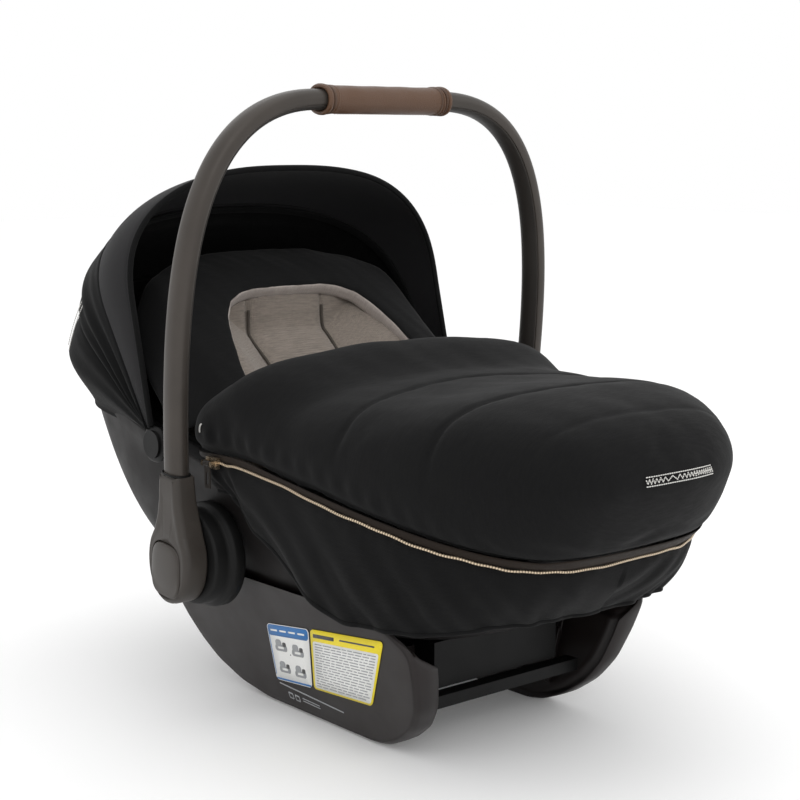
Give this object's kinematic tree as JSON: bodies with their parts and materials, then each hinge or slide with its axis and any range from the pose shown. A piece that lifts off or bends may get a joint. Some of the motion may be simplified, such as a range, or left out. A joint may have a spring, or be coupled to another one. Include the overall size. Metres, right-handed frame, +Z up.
{
  "type": "infant car seat",
  "caption": "Rear-facing infant carrier on rockers, with a swing handle, folding canopy and zipped leg cover with a face window",
  "frame": {"origin": "centre of the bounding box, on the floor under the rockers", "axes": "+Z up, X across the seat and its plane of symmetry, foot end at -Y, head end at +Y"},
  "size_m": [0.448, 0.6978, 0.5732],
  "materials": {
    "shell": "fine moulded grain",
    "base": "satin moulded plastic, warm black-brown",
    "foam": "expanded foam beads",
    "liner": "grey-beige melange knit",
    "webbing": "woven strap",
    "buckle": "moulded plastic",
    "red_button": "satin plastic",
    "steel": "drawn steel",
    "lever": "moulded plastic",
    "blue_label": "printed film with plain pictures and bars",
    "yellow_label": "printed film with plain bars",
    "hub_black": "moulded plastic",
    "handle_metal": "dark bronze satin anodised",
    "hub_bronze": "satin metallic plastic",
    "button": "satin plastic",
    "leather": "cognac brown grain",
    "leather_edge": "cognac brown, stitched edge",
    "canopy": "black woven fabric",
    "canopy_side": "charcoal woven fabric",
    "bow": "piped fabric edge over a flat bow",
    "cover": "black quilted soft shell fabric",
    "zip": "champagne metal teeth",
    "pull": "light enamel"
  },
  "bodies": {
    "seat": {"shell": "shell", "foam_liner": "foam", "seat_pad": "liner", "head_pad": "liner", "left_strap": "webbing", "right_strap": "webbing", "crotch_strap": "webbing", "chest_clip": "buckle", "buckle": "buckle", "left_rocker": "base", "right_rocker": "base", "front_cross_bar": "base", "belly_pan": "base", "pan_rails": "base", "front_latch_pin": "steel", "rear_latch_pin": "steel", "blue_label": "blue_label", "yellow_label": "yellow_label", "left_hub_base": "hub_black", "right_hub_base": "hub_black", "left_axle": "steel", "right_axle": "steel", "left_canopy_mount": "hub_black", "right_canopy_mount": "hub_black", "canopy_rear": "canopy", "cover_boot": "cover", "cover_skirt": "cover", "cover_hood": "cover", "zip_coil": "zip"},
    "handle": {"handle_tube": "handle_metal", "grip_wrap": "leather", "grip_left_collar": "leather_edge", "grip_right_collar": "leather_edge", "left_hub": "hub_bronze", "right_hub": "hub_bronze"},
    "left_button": {"left_button": "button"},
    "right_button": {"right_button": "button"},
    "canopy_mid": {"mid_bow": "bow", "canopy_mid": "canopy"},
    "canopy_front": {"front_bow": "bow", "canopy_front": "canopy_side"},
    "buckle_button": {"buckle_button": "red_button"},
    "release_lever": {"release_lever": "lever"},
    "latch_hook": {"latch_hook": "steel"},
    "zip_slider": {"zip_slider": "zip"},
    "zip_pull": {"zip_pull": "pull"}
  },
  "joints": [
    {"name": "handle_swing", "type": "hinge", "parent": "seat", "child": "handle", "pos_m": [0, 0.0415, 0.1535], "axis": [1, 0, 0], "range_deg": [-100, 45]},
    {"name": "left_button_press", "type": "slide", "parent": "handle", "child": "left_button", "axis": [1, 0, 0], "range_m": [0, 0.0035], "stiffness_N_per_m": 900},
    {"name": "right_button_press", "type": "slide", "parent": "handle", "child": "right_button", "axis": [-1, 0, 0], "range_m": [0, 0.0035], "stiffness_N_per_m": 900},
    {"name": "canopy_fold", "type": "hinge", "parent": "seat", "child": "canopy_mid", "pos_m": [0, 0.1115, 0.246], "axis": [-1, 0, 0], "range_deg": [0, 40]},
    {"name": "canopy_front_fold", "type": "hinge", "parent": "canopy_mid", "child": "canopy_front", "pos_m": [0, 0.1115, 0.246], "axis": [-1, 0, 0], "range_deg": [0, 18]},
    {"name": "buckle_button_press", "type": "slide", "parent": "seat", "child": "buckle_button", "axis": [0, 0, -1], "range_m": [0, 0.003], "stiffness_N_per_m": 900},
    {"name": "release_lever_pull", "type": "slide", "parent": "seat", "child": "release_lever", "axis": [0, 0, 1], "range_m": [0, 0.006], "stiffness_N_per_m": 900},
    {"name": "latch_hook_slide", "type": "slide", "parent": "seat", "child": "latch_hook", "axis": [0, 1, 0], "range_m": [0, 0.008]},
    {"name": "zip_travel", "type": "slide", "parent": "seat", "child": "zip_slider", "axis": [0, -1, 0], "range_m": [0, 0.02]},
    {"name": "zip_pull_swing", "type": "hinge", "parent": "zip_slider", "child": "zip_pull", "pos_m": [-0.1952, 0.0095, 0.244], "axis": [0, 1, 0], "range_deg": [0, 170]}
  ],
  "couplings": [
    {"joint": "canopy_front_fold", "follows": "canopy_fold", "ratio": 0.45},
    {"joint": "latch_hook_slide", "follows": "release_lever_pull", "ratio": 1.3333}
  ]
}
